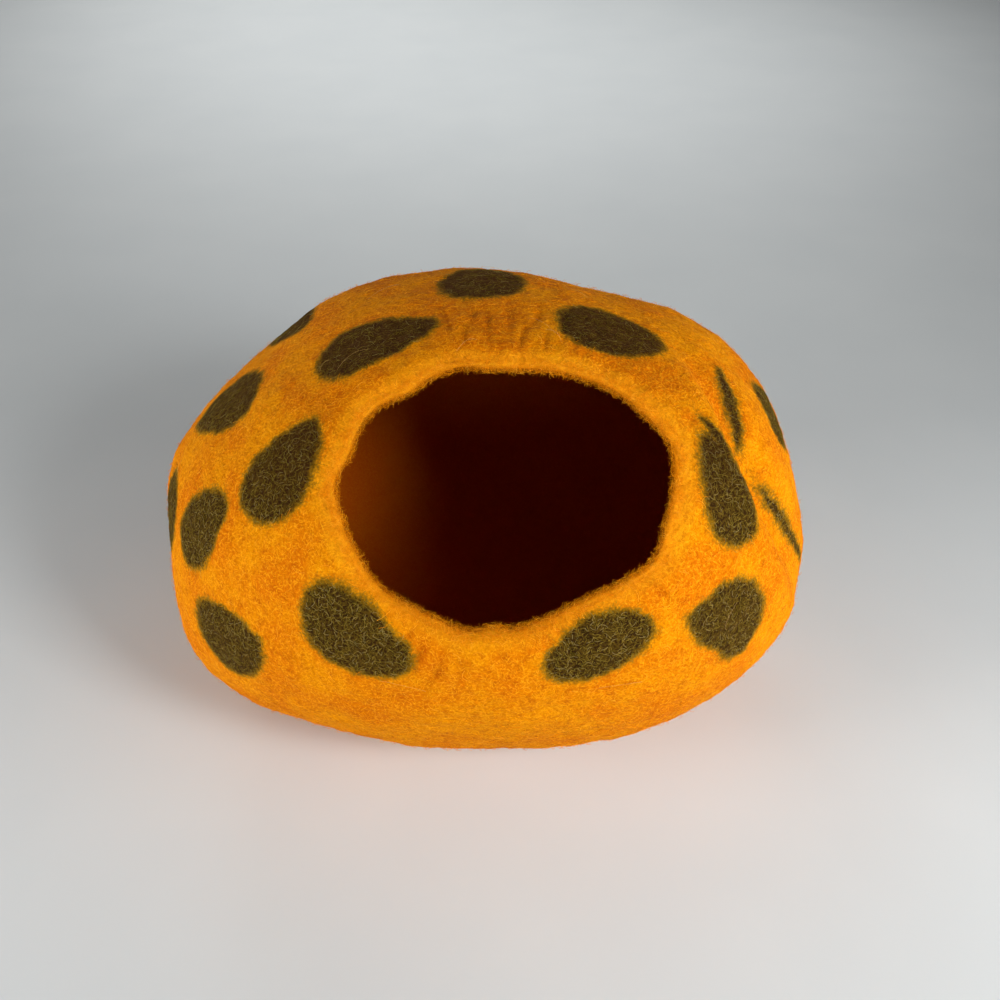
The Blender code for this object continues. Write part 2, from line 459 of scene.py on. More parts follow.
def finished_wall():
    """The sheet's rings: outer face, rolled edge, inner face, then both far points and creases."""
    ways, far_way, turn, from_edge = entrance_rings(OUTER_RINGS)
    outer = wall_points(ways)
    outer_far = wall_points(far_way[None])[0]
    normals = ring_normals(outer, outer_far)
    chamber = np.array((0.0, 0.0, CHAMBER_HEIGHT))
    reach = np.linalg.norm(outer - chamber, axis=-1)
    inner_ways, _, _, inner_from_edge = entrance_rings(INNER_RINGS)
    inner_base = wall_points(inner_ways)
    inner_normals = ring_normals(inner_base, outer_far)
    inner = inner_base - WALL * inner_normals
    inner_along = np.radians(inner_from_edge) * np.linalg.norm(inner - chamber, axis=-1)
    inner = inner - INNER_ROLL * edge_roll(inner_along)[..., None] * inner_normals
    inner_far = outer_far + WALL * (chamber - outer_far) / np.linalg.norm(chamber - outer_far)

    standing = np.clip(outer[..., 2] / BASE_FADE, 0, 1)
    high = lumps(outer.reshape(-1, 3), OUTER_SEED).reshape(reach.shape)
    creases = pucker_push(turn, from_edge, reach)
    high += creases - edge_roll(np.radians(from_edge) * reach)
    outer = outer + (high * standing)[..., None] * normals
    standing = np.clip((inner[..., 2] - WALL) / BASE_FADE, 0, 1)
    inner_high = lumps(inner.reshape(-1, 3), INNER_SEED).reshape(inner.shape[:-1])
    inner_high[0] = 0
    inner = inner + (inner_high * standing)[..., None] * inner_normals

    middle = 0.5 * (outer[0] + inner[0])
    half = 0.5 * (outer[0] - inner[0])
    half_wall = np.linalg.norm(half, axis=-1, keepdims=True)
    inward = outer[0] - outer[1]
    inward -= (inward * half).sum(-1, keepdims=True) * half / half_wall**2
    inward /= np.linalg.norm(inward, axis=-1, keepdims=True)
    lip = []
    for step in range(1, LIP_STEPS):
        angle = math.pi * step / LIP_STEPS
        lip.append(middle + math.cos(angle) * half + math.sin(angle) * half_wall * inward)
    lip = np.array(lip)
    rough = lumps(lip.reshape(-1, 3), EDGE_SEED).reshape(lip.shape[:-1])
    fade = np.sin(np.pi * np.arange(1, LIP_STEPS) / LIP_STEPS)[:, None]
    lip = lip + (rough * fade)[..., None] * inward
    return outer[::-1], lip, inner, outer_far, inner_far, creases[::-1]


def wall_mesh():
    """One closed mesh of the sheet, and the depth of its creases ring by ring."""
    outer, lip, inner, outer_far, inner_far, creases = finished_wall()
    rings = np.concatenate([outer, lip, inner])
    points = np.concatenate([rings.reshape(-1, 3), [outer_far], [inner_far]])
    count = len(rings)
    here = np.arange(SEGMENTS)
    after = np.roll(here, -1)
    faces = []
    for ring in range(count - 1):
        low = ring * SEGMENTS
        high = low + SEGMENTS
        faces += np.stack([low + here, low + after, high + after, high + here], -1).tolist()
    outer_pole = count * SEGMENTS
    last = (count - 1) * SEGMENTS
    faces += np.stack([after, here, np.full(SEGMENTS, outer_pole)], -1).tolist()
    faces += np.stack([last + here, last + after, np.full(SEGMENTS, outer_pole + 1)], -1).tolist()
    mesh = bpy.data.meshes.new("felt_wall")
    mesh.from_pydata(points.tolist(), [], faces)
    mesh.shade_smooth()
    return mesh, creases


felt_mesh, creases = wall_mesh()
felt_wall = bpy.data.objects.new("felt_wall", felt_mesh)
bpy.context.scene.collection.objects.link(felt_wall)


# ---------------------------------------------------------------- the spots
# Tufts of dark brown wool laid on the orange before felting, so they lie level in the sheet and
# their edges run into it. Each is an egg or a bean of its own; the sheet keeps, for every point,
# how far it is inside the nearest spot.
SPOTS = (
    # compass and height of its middle, length, width, tilt of its length, taper, bend; where two
    # rows meet, the spot is of two tufts
    (91, 72, 62, 72, 0, 0.0, 0.0),
    (-164.5, 66, 82, 55, 90, -0.2, 0.0),
    (-3.5, 63.3, 70, 62, 86, 0.0, 0.0),
    (153.5, 39, 76, 44, 48, 0.0, 0.0),
    (-176, 33, 78, 54, 39, 0.0, 0.0),
    (-139.2, 38.2, 76, 48, 94, -0.45, 0.0),
    (-151, 20, 63, 46, 62, 0.0, 0.0),
    (-166, 13, 54, 44, -60, 0.0, 0.0),
    (-138, 5.0, 62, 58, 20, -0.3, 0.0),
    (-113, 17.2, 77, 52, -26, 0.0, -0.06),
    (-68.3, 14.4, 74, 42, 22, -0.1, 0.0),
    (-41.5, 9.4, 72, 46, 110, 0.0, 0.0),
    (-45.8, 11.0, 58, 36, -48, 0.3, 0.0),
    (-36, 31.0, 74, 37, -112, 0.25, 0.0),
    (-29.5, 38.5, 30, 9, 72, -0.3, 0.0),
    (-13, 37.0, 60, 9.5, 37, 0.3, 0.03),
    (0.5, 25, 58, 46, 20, 0.0, 0.0),
    (-17.3, 13, 100, 7.0, -70, 0.0, -0.05),
    (32, 8, 66, 52, 60, 0.2, 0.0),
    (60, 22, 74, 54, -35, 0.0, 0.05),
    (94, 26, 76, 54, 15, -0.3, 0.0),
    (125, 22, 68, 50, 65, 0.2, 0.0),
    (152, 4, 66, 52, -40, 0.0, 0.06),
    (78, -8, 66, 52, 20, -0.3, 0.0),
    (110, -6, 64, 50, -60, 0.2, 0.0),
    (134, -18, 60, 48, -20, 0.0, 0.0),
    (48, -18, 64, 50, 10, -0.2, 0.0),
    (8, -12, 62, 48, 70, 0.0, 0.0),
    (170, -22, 58, 44, 10, 0.0, 0.0),
)
SPOT_WOBBLE = 0.05              # how far a spot's outline strays, as a share of its size
SPOT_LIMIT = 60.0               # distances are kept up to this many millimetres
CREASE_SHADE_DEPTH = 1.6 * MM         # a trough this deep has its full painted shade
EDGE_RINGS = 14                 # rings of the outer face, towards the cut, that carry the rim's painted highlight and painted shade
RIM_SHADE_BELOW = 230.0              # below this height in millimetres the band beside the cut carries painted shade
RIM_SHADE_BAND = 60.0
RIM_HIGHLIGHT_ABOVE = 150.0              # above this one it carries a painted highlight
RIM_HIGHLIGHT_BAND = 80.0


def spot_distance(points):
    """Distance of each point from the nearest spot's edge in millimetres, negative inside it."""
    nearest = np.full(len(points), SPOT_LIMIT)
    chamber = np.array((0.0, 0.0, CHAMBER_HEIGHT))
    for number, (compass, height, length, width, tilt, taper, bend) in enumerate(SPOTS):
        way = direction(compass, height)
        middle = wall_points(way[None])[0]
        level = np.cross((0.0, 0.0, 1.0), way)
        level /= np.linalg.norm(level)
        rise = np.cross(way, level)
        slope = math.radians(tilt)
        away = (points - middle) / MM
        along = away @ (math.cos(slope) * level + math.sin(slope) * rise)
        aside = away @ (math.cos(slope) * rise - math.sin(slope) * level)
        near = (points - chamber) @ way > 0
        near &= np.linalg.norm(away, axis=-1) < length + SPOT_LIMIT
        share = np.clip(2 * along / length, -1.5, 1.5)
        aside = aside - bend * length * (1 - share**2)
        half = 0.5 * width * (1 + taper * share)
        angle = np.arctan2(aside / half, share)
        stray = np.sin(2 * angle + number) + np.sin(3 * angle + 2.3 * number)
        across = np.hypot(2 * along / length, aside / half) / (1 + SPOT_WOBBLE * stray)
        steep = np.hypot(2 * along / length / (0.5 * length), aside / half**2)
        steep /= np.maximum(across, TINY)
        distance = (across - 1) / np.maximum(steep, 1 / length)
        nearest = np.where(near, np.minimum(nearest, distance), nearest)
    return np.clip(nearest, -SPOT_LIMIT, SPOT_LIMIT)


wall_places = np.empty(len(felt_wall.data.vertices) * 3, np.float32)
felt_wall.data.vertices.foreach_get("co", wall_places)
wall_places = wall_places.reshape(-1, 3).astype(float)
from_spot = spot_distance(wall_places)
from_spot[OUTER_RINGS * SEGMENTS:-2] = SPOT_LIMIT
from_spot[-1] = SPOT_LIMIT
ring_numbers = np.repeat(np.arange(OUTER_RINGS + LIP_STEPS - 1 + INNER_RINGS), SEGMENTS)
ring_numbers = np.append(ring_numbers, (0, OUTER_RINGS + LIP_STEPS + INNER_RINGS))
inside = np.clip((ring_numbers - OUTER_RINGS) / LIP_STEPS, 0, 1)
# the band of outer rings beside the cut, for the rim's painted highlight and painted shade
rim_band = np.clip((ring_numbers - OUTER_RINGS + EDGE_RINGS) / EDGE_RINGS, 0, 1) * (1 - inside)
wall_heights = wall_places[:, 2] / MM
# painted shade: the lower part of the band beside the cut is darkened towards olive
rim_shade_share = rim_band * np.clip((RIM_SHADE_BELOW - wall_heights) / RIM_SHADE_BAND, 0, 1)
# painted highlight: the upper part of the band beside the cut is made yellower
rim_highlight_share = rim_band * np.clip((wall_heights - RIM_HIGHLIGHT_ABOVE) / RIM_HIGHLIGHT_BAND, 0, 1)
# painted shade: how deep each point lies in a pucker's trough, where the felt is darkened towards
# rust
crease_shade_share = np.zeros(len(wall_places))
crease_shade_share[:OUTER_RINGS * SEGMENTS] = np.clip(-creases.reshape(-1) / CREASE_SHADE_DEPTH, 0, 1)


def keep(name, values):
    """Keep a number for each point of the sheet, for its materials and its loose wool."""
    kept = felt_wall.data.attributes.new(name, "FLOAT", "POINT")
    kept.data.foreach_set("value", values.astype(np.float32))


keep("from_spot", from_spot)
keep("inside", inside)
keep("edge", rim_highlight_share)
keep("worn", rim_shade_share)
keep("crease", crease_shade_share)


def linear(hex_colour):
    """A colour written in sRGB hex, as the linear values that a shader takes."""
    channels = [int(hex_colour[k:k + 2], 16) / 255 for k in (1, 3, 5)]
    return [c / 12.92 if c <= 0.04045 else ((c + 0.055) / 1.055) ** 2.4 for c in channels] + [1.0]


# Wet-felted wool. Felting locks crimped fibres into a dense, fully matt mat with a soft bloom where
# light grazes it. Nothing on it is even: the orange runs from amber to rust over a few centimetres,
# every few millimetres hold a lump, and single fibres show as short curved strands.
AMBER = "#DA8500"
ORANGE = "#CE6C00"
RUST = "#A64400"
YELLOW = "#FFB218"
SHADED_INSIDE = "#A84804"
DARK_BROWN = "#2C1C08"
OLIVE = "#564010"
GOLDEN = "#88722A"
KHAKI = "#988652"
EDGE_OLIVE = "#8E640A"
CROWN_BROWN = "#331808"
BLOOM = "#FFA030"
PATCH_SIZE = 38.0               # millimetres across the orange's slow changes
MOTTLE_SIZE = 6.0
GRAIN_SIZE = 1.7                # a felted fibre bundle is under 1 mm: drawn coarser, to show
CLOUD_DETAIL = 2.0
FINE_STRANDS = (2.1, 2.66, 3.36)    # lengths in millimetres: dark strands of painted shade between fibres, plain and crossing strands
LONG_STRANDS = (3.8, 4.8)
STRAND_WIDTH = 0.21             # a wool fibre is 0.03 mm wide: drawn coarser, to show
STRAND_BEND = 1.0               # radius of a strand's curve, as a share of its length
STRAND_ENDS = (0.38, 0.6)       # shares of its length between which a strand fades out
SPOT_EDGE = 5.5                 # half the width of the band where a spot's wool runs out
SPOT_STRAY = 7.0                # how far that band strays in all, slowly and at the grain's size
SPOT_STRAY_SIZE = 9.0
SPOT_FRAY = 6.0
SPOT_STRAND_REACH = 3.0         # how far single strands carry a spot's brown out of it
CROWN = (0.22, 0.29)            # heights between which the spots' brown turns redder
LUMP_SHARE = 1.8                # how much the mottle stands in relief, beside the grain


def felt_material():
    """Orange wool felt with dark brown wool felted into it."""
    material = bpy.data.materials.new("wet_felted_wool")
    material.use_nodes = True
    tree = material.node_tree
    shader = tree.nodes["Principled BSDF"]
    place = add(tree, "ShaderNodeTexCoord").outputs["Object"]
    sheet_normal = add(tree, "ShaderNodeNewGeometry").outputs["Normal"]
    kept = {
        name: add(tree, "ShaderNodeAttribute", {"attribute_name": name}).outputs["Fac"]
        for name in ("from_spot", "inside", "edge", "worn", "crease")
    }
    number, arrow, ease = "ShaderNodeMath", "ShaderNodeVectorMath", "ShaderNodeMapRange"
    plus, minus, times = ({"operation": name} for name in ("ADD", "SUBTRACT", "MULTIPLY"))
    smooth = {"interpolation_type": "SMOOTHSTEP"}

    def cloud(size, seed):
        """Soft unevenness, that many millimetres across."""
        moved = add(tree, arrow, plus, (place, (0.31 * seed, 0.17 * seed, 0.23 * seed)))
        values = {"Vector": moved, "Scale": 1 / (size * MM), "Detail": CLOUD_DETAIL}
        return add(tree, "ShaderNodeTexNoise", None, values)

    def strands(length, seed):
        """One thin arc through each cell of a random net, fading out at both ends."""
        scaled = add(tree, arrow, {"operation": "SCALE"}, {0: place, "Scale": 1 / (length * MM)})
        moved = add(tree, arrow, plus, (scaled, (7.3 * seed, 3.1 * seed, 5.7 * seed)))
        cell = add(tree, "ShaderNodeTexVoronoi", None, {"Vector": moved, "Scale": 1.0})
        chance = add(tree, arrow, minus, (cell.outputs["Color"], (0.5, 0.5, 0.5)))
        way = add(tree, arrow, {"operation": "NORMALIZE"}, (chance,))
        bend = add(tree, arrow, {"operation": "SCALE"}, {0: way, "Scale": STRAND_BEND})
        centre = add(tree, arrow, plus, (cell.outputs["Position"], bend))
        spoke = add(tree, arrow, minus, (moved, centre))
        far = add(tree, arrow, {"operation": "LENGTH"}, (spoke,)).outputs["Value"]
        past = add(tree, number, minus, (far, STRAND_BEND))
        off = add(tree, number, {"operation": "ABSOLUTE"}, (past,))

        # where the arc's ball meets the sheet aslant, its line is narrowed to the same width
        outwards = add(tree, arrow, {"operation": "NORMALIZE"}, (spoke,))
        facing = add(tree, arrow, {"operation": "DOT_PRODUCT"}, (outwards, sheet_normal))
        facing = facing.outputs["Value"]
        rest = add(tree, number, minus, (1.0, add(tree, number, times, (facing, facing))))
        slant = add(tree, number, {"operation": "SQRT"}, (rest,))
        least = add(tree, number, {"operation": "MAXIMUM"}, (slant, 0.1))
        even = add(tree, number, {"operation": "DIVIDE"}, (off, least))

        width = STRAND_WIDTH / length
        line = add(tree, ease, smooth, (even, 0.25 * width, width, 1.0, 0.0))
        ends = add(tree, ease, smooth, (cell.outputs["Distance"], *STRAND_ENDS, 1.0, 0.0))
        clear = add(tree, ease, smooth, (slant, 0.3, 0.5, 0.0, 1.0))
        return add(tree, number, times, (add(tree, number, times, (line, ends)), clear))

    def coats(colour, rows):
        """Lay colours over one another. A share from 0 to 1 is taken as it is, any other eased."""
        for shown_by, start, full, most, over in rows:
            settings = {"interpolation_type": "LINEAR"} if (start, full) == (0, 1) else smooth
            share = add(tree, ease, settings, (shown_by, start, full, 0.0, most))
            mix = {0: share, 6: colour, 7: over}
            colour = add(tree, "ShaderNodeMix", {"data_type": "RGBA"}, mix).outputs[2]
        return colour

    patches = cloud(PATCH_SIZE, 1)
    mottle = cloud(MOTTLE_SIZE, 2)
    grain = cloud(GRAIN_SIZE, 3)
    gap_shade_line, fine_line, crossing_line = (
        strands(length, seed) for length, seed in zip(FINE_STRANDS, (10, 11, 12))
    )
    long_line, longest_line = (strands(length, seed) for length, seed in zip(LONG_STRANDS, (1, 2)))
    height = add(tree, "ShaderNodeSeparateXYZ", None, (place,)).outputs["Z"]

    orange = coats(linear(ORANGE), (
        # what shows the coat, where it starts, where it is full, how much it covers, its colour
        (patches, 0.35, 0.65, 1.0, linear(AMBER)),
        (mottle, 0.48, 0.75, 0.5, linear(RUST)),
        (grain, 0.5, 0.3, 0.32, linear(RUST)),
        (grain, 0.5, 0.7, 0.35, linear(YELLOW)),
        # painted shade in the pucker troughs
        (kept["crease"], 0, 1, 0.45, linear(RUST)),
        # painted highlight on the upper part of the rolled edge
        (kept["edge"], 0, 1, 0.8, linear(YELLOW)),
        # painted shade: dark strands for the shadowed gaps between fibres
        (gap_shade_line, 0, 1, 0.4, linear(RUST)),
        (fine_line, 0, 1, 0.8, linear(AMBER)),
        (crossing_line, 0, 1, 0.55, linear(YELLOW)),
        (long_line, 0, 1, 0.65, linear(YELLOW)),
        (longest_line, 0, 1, 0.5, linear(YELLOW)),
        # painted shade on the lower part of the rolled edge
        (kept["worn"], 0, 1, 0.5, linear(EDGE_OLIVE)),
    ))
    brown = coats(linear(DARK_BROWN), (
        (grain, 0.4, 0.62, 0.75, linear(OLIVE)),
        # painted shade: dark strands for the shadowed gaps between fibres
        (gap_shade_line, 0, 1, 0.7, linear(DARK_BROWN)),
        (fine_line, 0, 1, 0.85, linear(OLIVE)),
        (crossing_line, 0, 1, 0.85, linear(GOLDEN)),
        (long_line, 0, 1, 0.85, linear(GOLDEN)),
        (longest_line, 0, 1, 0.8, linear(KHAKI)),
        (height, *CROWN, 0.55, linear(CROWN_BROWN)),
    ))

    # a spot's edge strays and frays, and single strands carry its brown out
    spread = {"operation": "MULTIPLY_ADD"}
    slow = cloud(SPOT_STRAY_SIZE, 30)
    stray = add(tree, number, spread, (slow, SPOT_STRAY, -0.5 * SPOT_STRAY))
    fray = add(tree, number, spread, (grain, SPOT_FRAY, -0.5 * SPOT_FRAY))
    carried = add(tree, number, plus, (crossing_line, long_line))
    carried = add(tree, number, times, (carried, SPOT_STRAND_REACH))
    off_spot = add(tree, number, plus, (kept["from_spot"], stray))
    off_spot = add(tree, number, plus, (off_spot, add(tree, number, minus, (fray, carried))))
    in_spot = add(tree, ease, smooth, (off_spot, -SPOT_EDGE, SPOT_EDGE, 1.0, 0.0))
    colour = coats(orange, (
        (in_spot, 0.0, 0.6, 1.0, linear(EDGE_OLIVE)),
        (in_spot, 0.3, 1.0, 1.0, brown),
        (kept["inside"], 0, 1, 0.85, linear(SHADED_INSIDE)),
    ))

    tree.links.new(colour, shader.inputs["Base Color"])
    shader.inputs["Roughness"].default_value = 0.95
    shader.inputs["Specular IOR Level"].default_value = 0.04
    shader.inputs["Sheen Weight"].default_value = 0.06
    shader.inputs["Sheen Roughness"].default_value = 0.5
    shader.inputs["Sheen Tint"].default_value = linear(BLOOM)
    relief = add(tree, number, spread, (mottle, LUMP_SHARE, grain))
    bump = add(
        tree, "ShaderNodeBump", None, {"Height": relief, "Strength": 0.8, "Distance": 1.0 * MM}
    )
    tree.links.new(bump.outputs["Normal"], shader.inputs["Normal"])
    return material


felt_wall.data.materials.append(felt_material())
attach(felt_wall, "root")
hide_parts("felt_shell")


# ---------------------------------------------------------------- the loose wool
# Felting never catches every fibre. Loops and ends of the wool lie on the sheet or stand off it by
# a millimetre or two, thickest round the cut edge. A wool fibre is 0.03 mm thick: these are drawn
# several times thicker, so that they show. Each kind is one joined piece, on where it grows.
FIBRE_SIDES = 3                 # there are thousands, so each has few faces
FIBRE_STEPS = 3
FIBRE_STRETCH = (0.55, 1.45)    # the shortest and the longest fibre, as shares of their length


def fibre_tree(name, shapes):
    """Geometry nodes that scatter fibres over the felt: shapes are arcs for a fibre 1 long."""
    tree = bpy.data.node_groups.new(name, "GeometryNodeTree")
    for label, kind in (
        ("Felt", "NodeSocketGeometry"),
        ("Where", "NodeSocketString"),
        ("Density", "NodeSocketFloat"),
        ("Length", "NodeSocketFloat"),
        ("Thickness", "NodeSocketFloat"),
        ("Seed", "NodeSocketInt"),
        ("Wool", "NodeSocketMaterial"),
    ):
        tree.interface.new_socket(label, in_out="INPUT", socket_type=kind)
    tree.interface.new_socket("Fibres", in_out="OUTPUT", socket_type="NodeSocketGeometry")
    given = add(tree, "NodeGroupInput").outputs
    number, random = "ShaderNodeMath", "FunctionNodeRandomValue"
    plus, times, over = ({"operation": name} for name in ("ADD", "MULTIPLY", "DIVIDE"))
    real_number = {"data_type": "FLOAT"}

    # the places that they grow from
    share = add(tree, "GeometryNodeInputNamedAttribute", real_number, {"Name": given["Where"]})
    density = add(tree, number, times, (given["Density"], share))
    roots = add(
        tree,
        "GeometryNodeDistributePointsOnFaces",
        {"distribute_method": "RANDOM"},
        {"Mesh": given["Felt"], "Density": density, "Seed": given["Seed"]},
    )

    # one fibre of each shape
    slimness = add(tree, number, over, (given["Thickness"], given["Length"]))
    half = add(tree, number, times, (slimness, 0.5))
    profile = add(
        tree,
        "GeometryNodeCurvePrimitiveCircle",
        {"mode": "RADIUS"},
        {"Resolution": FIBRE_SIDES, "Radius": half},
    )
    joined = add(tree, "GeometryNodeJoinGeometry")
    for start, middle, end in shapes:
        arc = add(
            tree,
            "GeometryNodeCurveQuadraticBezier",
            None,
            {"Resolution": FIBRE_STEPS, "Start": start, "Middle": middle, "End": end},
        )
        strand = add(
            tree,
            "GeometryNodeCurveToMesh",
            None,
            {"Curve": arc, "Profile Curve": profile, "Fill Caps": True},
        )
        single = add(tree, "GeometryNodeGeometryToInstance", None, (strand,))
        tree.links.new(single.outputs[0], joined.inputs[0])

    # each root's own turn, shape, length and shade
    turn_seed = given["Seed"]
    shape_seed, length_seed, shade_seed = (
        add(tree, number, plus, (given["Seed"], step)) for step in (1.0, 2.0, 3.0)
    )
    spin = add(tree, random, real_number, {2: 0.0, 3: 2 * math.pi, "Seed": turn_seed})
    turn = add(tree, "ShaderNodeCombineXYZ", None, {"Z": spin.outputs[1]})
    turned = add(
        tree,
        "FunctionNodeRotateRotation",
        {"rotation_space": "LOCAL"},
        (roots.outputs["Rotation"], turn),
    )
    which = add(
        tree, random, {"data_type": "INT"}, {4: 0, 5: len(shapes) - 1, "Seed": shape_seed}
    )
    shortest, longest = FIBRE_STRETCH
    stretch = add(tree, random, real_number, {2: shortest, 3: longest, "Seed": length_seed})
    size = add(tree, number, times, (given["Length"], stretch.outputs[1]))
    shade = add(tree, random, real_number, {2: 0.0, 3: 1.0, "Seed": shade_seed})

    fibres = add(
        tree,
        "GeometryNodeInstanceOnPoints",
        None,
        {
            "Points": roots,
            "Instance": joined,
            "Pick Instance": True,
            "Instance Index": which.outputs[2],
            "Rotation": turned,
            "Scale": size,
        },
    )
    shaded = add(
        tree,
        "GeometryNodeStoreNamedAttribute",
        {"data_type": "FLOAT", "domain": "INSTANCE"},
        {"Geometry": fibres, "Name": "shade", "Value": shade.outputs[1]},
    )
    real = add(tree, "GeometryNodeRealizeInstances", None, (shaded,))
    smooth = add(tree, "GeometryNodeSetShadeSmooth", None, (real,))
    dyed = add(
        tree, "GeometryNodeSetMaterial", None, {"Geometry": smooth, "Material": given["Wool"]}
    )
    add(tree, "NodeGroupOutput", None, (dyed,))
    return tree


def grow(name, shapes, where, number, length, thickness, seed, wool):
    """Scatter about that number of fibres where the sheet keeps that share, as one plain mesh."""
    mesh = felt_wall.data
    share = np.empty(len(mesh.vertices), np.float32)
    mesh.attributes[where].data.foreach_get("value", share)
    area = sum(face.area * share[list(face.vertices)].mean() for face in mesh.polygons)
    tree = fibre_tree(name, shapes)
    holder = bpy.data.objects.new(name, mesh)
    bpy.context.scene.collection.objects.link(holder)
    modifier = holder.modifiers.new("fibres", "NODES")
    modifier.node_group = tree
    values = {
        "Where": where,
        "Density": number / area,
        "Length": length,
        "Thickness": thickness,
        "Seed": seed,
        "Wool": wool,
    }
    for item in tree.interface.items_tree:
        if item.in_out == "INPUT" and item.name in values:
            modifier[item.identifier] = values[item.name]
    graph = bpy.context.evaluated_depsgraph_get()
    plain = bpy.data.meshes.new_from_object(
        holder.evaluated_get(graph), preserve_all_data_layers=True, depsgraph=graph
    )
    plain.name = name
    holder.modifiers.remove(modifier)
    holder.data = plain
    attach(holder, "root")
    return holder


# Loose wool. It is the same fibre as in the sheet, but single hairs are a little smoother than the
# mat and catch the light along their length, so they look paler and warmer than what they lie on.
def fibre_wool(name, colours):
    """Wool whose every fibre takes one of the colours, given with the share where it starts."""
    material = bpy.data.materials.new(name)
    material.use_nodes = True
    tree = material.node_tree
    shader = tree.nodes["Principled BSDF"]
    shade = add(tree, "ShaderNodeAttribute", {"attribute_name": "shade"}).outputs["Fac"]
    ramp = add(tree, "ShaderNodeValToRGB", None, {"Fac": shade})
    ramp.color_ramp.interpolation = "LINEAR"
    stops = ramp.color_ramp.elements
    while len(stops) > 1:
        stops.remove(stops[-1])
    stops[0].position, stops[0].color = colours[0][0], linear(colours[0][1])
    for start, colour in colours[1:]:
        stops.new(start).color = linear(colour)
    tree.links.new(ramp.outputs["Color"], shader.inputs["Base Color"])
    shader.inputs["Roughness"].default_value = 0.9
    shader.inputs["Specular IOR Level"].default_value = 0.05
    return material


LYING = (
    # start, middle and end of a fibre 1 long that lies on the sheet, both ends in it
    ((-0.5, 0.0, -0.02), (0.0, 0.35, 0.09), (0.5, 0.0, -0.02)),
    ((-0.5, 0.0, -0.02), (0.0, -0.55, 0.08), (0.5, 0.05, -0.02)),
    ((-0.45, 0.1, -0.02), (0.1, 0.55, 0.08), (0.4, -0.1, -0.02)),
    ((-0.5, 0.0, -0.02), (0.05, 0.12, 0.1), (0.5, 0.0, -0.02)),
    ((-0.45, 0.0, -0.02), (0.2, -0.5, 0.09), (0.4, 0.15, -0.02)),
)
STANDING = (
    # start, middle and end of a fibre 1 long with one end free
    ((0.0, 0.0, -0.05), (0.25, 0.1, 0.45), (0.8, 0.2, 0.3)),
    ((0.0, 0.0, -0.05), (0.1, -0.2, 0.5), (0.5, 0.4, 0.45)),
    ((0.0, 0.0, -0.05), (0.45, 0.3, 0.3), (0.85, -0.1, 0.25)),
    ((0.0, 0.0, -0.05), (0.5, -0.4, 0.35), (0.3, 0.5, 0.35)),
    ((0.0, 0.0, -0.05), (-0.1, 0.3, 0.35), (0.6, 0.6, 0.15)),
)

SPOT_FIBRE_COLOURS = (
    (0.0, "#463409"),
    (0.35, "#66520F"),
    (0.7, "#86701C"),
    (0.9, "#988430"),
    (1.0, "#AC9C5C"),
)
NAP_COLOURS = (
    (0.0, "#DA7A00"),
    (0.3, "#E88C00"),
    (0.7, "#F69E0C"),
    (1.0, "#FFB830"),
)
EDGE_WOOL_RINGS = 5             # rings of the outer face, beside the cut, that edge wool grows on
BASE_CLEARANCE = 14.0 * MM      # wool thins out below this height, so that none dips below the base
SPOT_WOOL_PAST = 2.5            # millimetres past a spot's edge where its wool has thinned to none
SPOT_WOOL_BAND = 5.0
BARE_WOOL_BAND = 4.0

outside = np.zeros(len(wall_places))
outside[:OUTER_RINGS * SEGMENTS] = 1
beside_cut = np.zeros(len(wall_places))
beside_cut[(OUTER_RINGS - EDGE_WOOL_RINGS) * SEGMENTS:(OUTER_RINGS + LIP_STEPS) * SEGMENTS] = 1
off_base = np.clip(wall_places[:, 2] / BASE_CLEARANCE, 0, 1) ** 2
on_spot = np.clip((SPOT_WOOL_PAST - from_spot) / SPOT_WOOL_BAND, 0, 1)
keep("spot_wool", on_spot * outside * off_base)
keep("bare_wool", np.clip(from_spot / BARE_WOOL_BAND, 0, 1) * outside * off_base)
keep("edge_wool", beside_cut)

spot_wool = fibre_wool("brown_wool_fibres", SPOT_FIBRE_COLOURS)
nap_wool = fibre_wool("orange_wool_fibres", NAP_COLOURS)
loose_wool = [
    # name, shapes, where, number, length, thickness, seed, wool
    grow("spot_fibres", LYING, "spot_wool", 9500, 6.5 * MM, 0.11 * MM, 3, spot_wool),
    grow("lying_fibres", LYING, "bare_wool", 9500, 7.5 * MM, 0.18 * MM, 7, nap_wool),
    grow("standing_fibres", STANDING, "bare_wool", 9500, 3.6 * MM, 0.14 * MM, 11, nap_wool),
    grow("edge_fibres", STANDING, "edge_wool", 9000, 5.2 * MM, 0.11 * MM, 15, nap_wool),
]
HAIR_THICKNESS = 0.11 * MM
HAIR_LIFT = 3.0 * MM
HAIR_ENDS_IN = 0.2              # how far its ends sink into the sheet, as a share of the lift
HAIR_POINTS = 12
LONG_HAIRS = (
    # compass and height of a long hair's start, middle and end
    (-156, 57.0, -160, 61.5, -159, 65.0),
    (-161, 54.0, -162, 56.0, -164.5, 56.8),
    (-110, 75.0, -106, 78.5, -94, 79.5),
    (-6, 80.5, -14, 77.5, -26, 72.0),
    (-30, 71.0, -24, 73.0, -22, 76.0),
    (-41, 13.0, -47, 11.5, -44, 8.5),
    (-60, 4.0, -64, 6.5, -69, 5.0),
    (-100, 6.0, -104, 9.0, -109, 7.5),
    (12, 22.0, 15, 26.0, 19, 25.0),
    (48, 30.0, 53, 33.0, 58, 31.0),
    (95, 31.0, 100, 28.0, 99, 23.0),
    (130, 26.0, 126, 23.0, 121, 24.0),
    (165, 30.0, 160, 33.0, 157, 37.0),
    (80, 60.0, 88, 63.0, 95, 61.0),
    (30, 62.0, 38, 65.0, 47, 63.0),
    (150, 60.0, 142, 63.0, 132, 62.0),
)


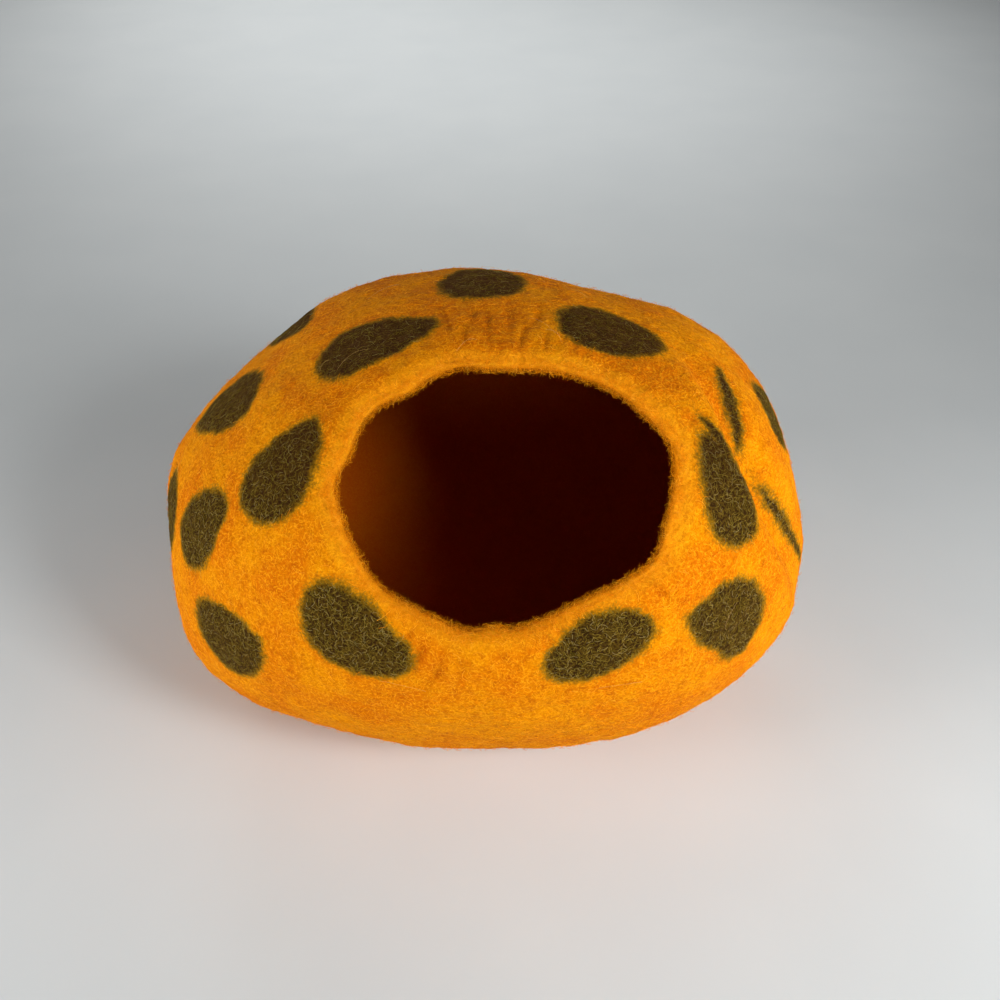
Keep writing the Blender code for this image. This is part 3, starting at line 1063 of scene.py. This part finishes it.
def long_hair_mesh():
    """Long hairs that lie over the sheet in low arcs, both ends in it."""
    curve = bpy.data.curves.new("long_hairs", "CURVE")
    curve.dimensions = "3D"
    curve.bevel_depth = 0.5 * HAIR_THICKNESS
    curve.bevel_resolution = 0
    curve.use_fill_caps = True
    for row in LONG_HAIRS:
        start, middle, end = (direction(row[k], row[k + 1]) for k in (0, 2, 4))
        share = np.linspace(0, 1, HAIR_POINTS)[:, None]
        ways = (1 - share) ** 2 * start + 2 * share * (1 - share) * middle + share**2 * end
        ways /= np.linalg.norm(ways, axis=-1, keepdims=True)
        lift = HAIR_LIFT * (np.sin(math.pi * share) - HAIR_ENDS_IN)
        path = wall_points(ways) + lift * ways
        spline = curve.splines.new("POLY")
        spline.points.add(HAIR_POINTS - 1)
        for point, place in zip(spline.points, path):
            point.co = (*place, 1.0)
    holder = bpy.data.objects.new("hair_curve", curve)
    bpy.context.scene.collection.objects.link(holder)
    graph = bpy.context.evaluated_depsgraph_get()
    mesh = bpy.data.meshes.new_from_object(holder.evaluated_get(graph))
    bpy.data.objects.remove(holder)
    return mesh


long_hairs = bpy.data.objects.new("long_hairs", long_hair_mesh())
bpy.context.scene.collection.objects.link(long_hairs)
long_hairs.data.materials.clear()
long_hairs.data.materials.append(fibre_wool("pale_wool_hairs", ((0.0, "#E0B468"),)))
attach(long_hairs, "root")
loose_wool.append(long_hairs)


# ---------------------------------------------------------------- the floor
# A plain pale floor in matt paint: rolled on, so its tone drifts a little and its skin is faintly
# pebbled.
FLOOR_SIZE = 8.0
FLOOR_COLOUR = "#D8DCDC"
FLOOR_SHADE = "#D0D5D6"
ROLLER_DRIFT = 140.0            # millimetres across the paint's slow changes of tone
ROLLER_PEBBLE = 2.5
PEBBLE_HEIGHT = 0.3 * MM

floor_mesh = bpy.data.meshes.new("floor")
half_floor = 0.5 * FLOOR_SIZE
corner_signs = ((-1, -1), (1, -1), (1, 1), (-1, 1))
floor_corners = [(x * half_floor, y * half_floor, 0.0) for x, y in corner_signs]
floor_mesh.from_pydata(floor_corners, [], [(0, 1, 2, 3)])
floor = bpy.data.objects.new("floor", floor_mesh)
bpy.context.scene.collection.objects.link(floor)
floor_paint = bpy.data.materials.new("matt_floor_paint")
floor_paint.use_nodes = True
floor_tree = floor_paint.node_tree
floor_shader = floor_tree.nodes["Principled BSDF"]
floor_place = add(floor_tree, "ShaderNodeTexCoord").outputs["Object"]
drift, pebble = (
    add(floor_tree, "ShaderNodeTexNoise", None, {"Vector": floor_place, "Scale": 1 / (size * MM)})
    for size in (ROLLER_DRIFT, ROLLER_PEBBLE)
)
tone = add(floor_tree, "ShaderNodeValToRGB", None, (drift,))
tone.color_ramp.elements[0].color = linear(FLOOR_SHADE)
tone.color_ramp.elements[1].color = linear(FLOOR_COLOUR)
skin = add(
    floor_tree,
    "ShaderNodeBump",
    None,
    {"Height": pebble, "Strength": 0.15, "Distance": PEBBLE_HEIGHT},
)
floor_tree.links.new(tone.outputs["Color"], floor_shader.inputs["Base Color"])
floor_tree.links.new(skin.outputs["Normal"], floor_shader.inputs["Normal"])
floor_shader.inputs["Roughness"].default_value = 0.9
floor_mesh.materials.append(floor_paint)
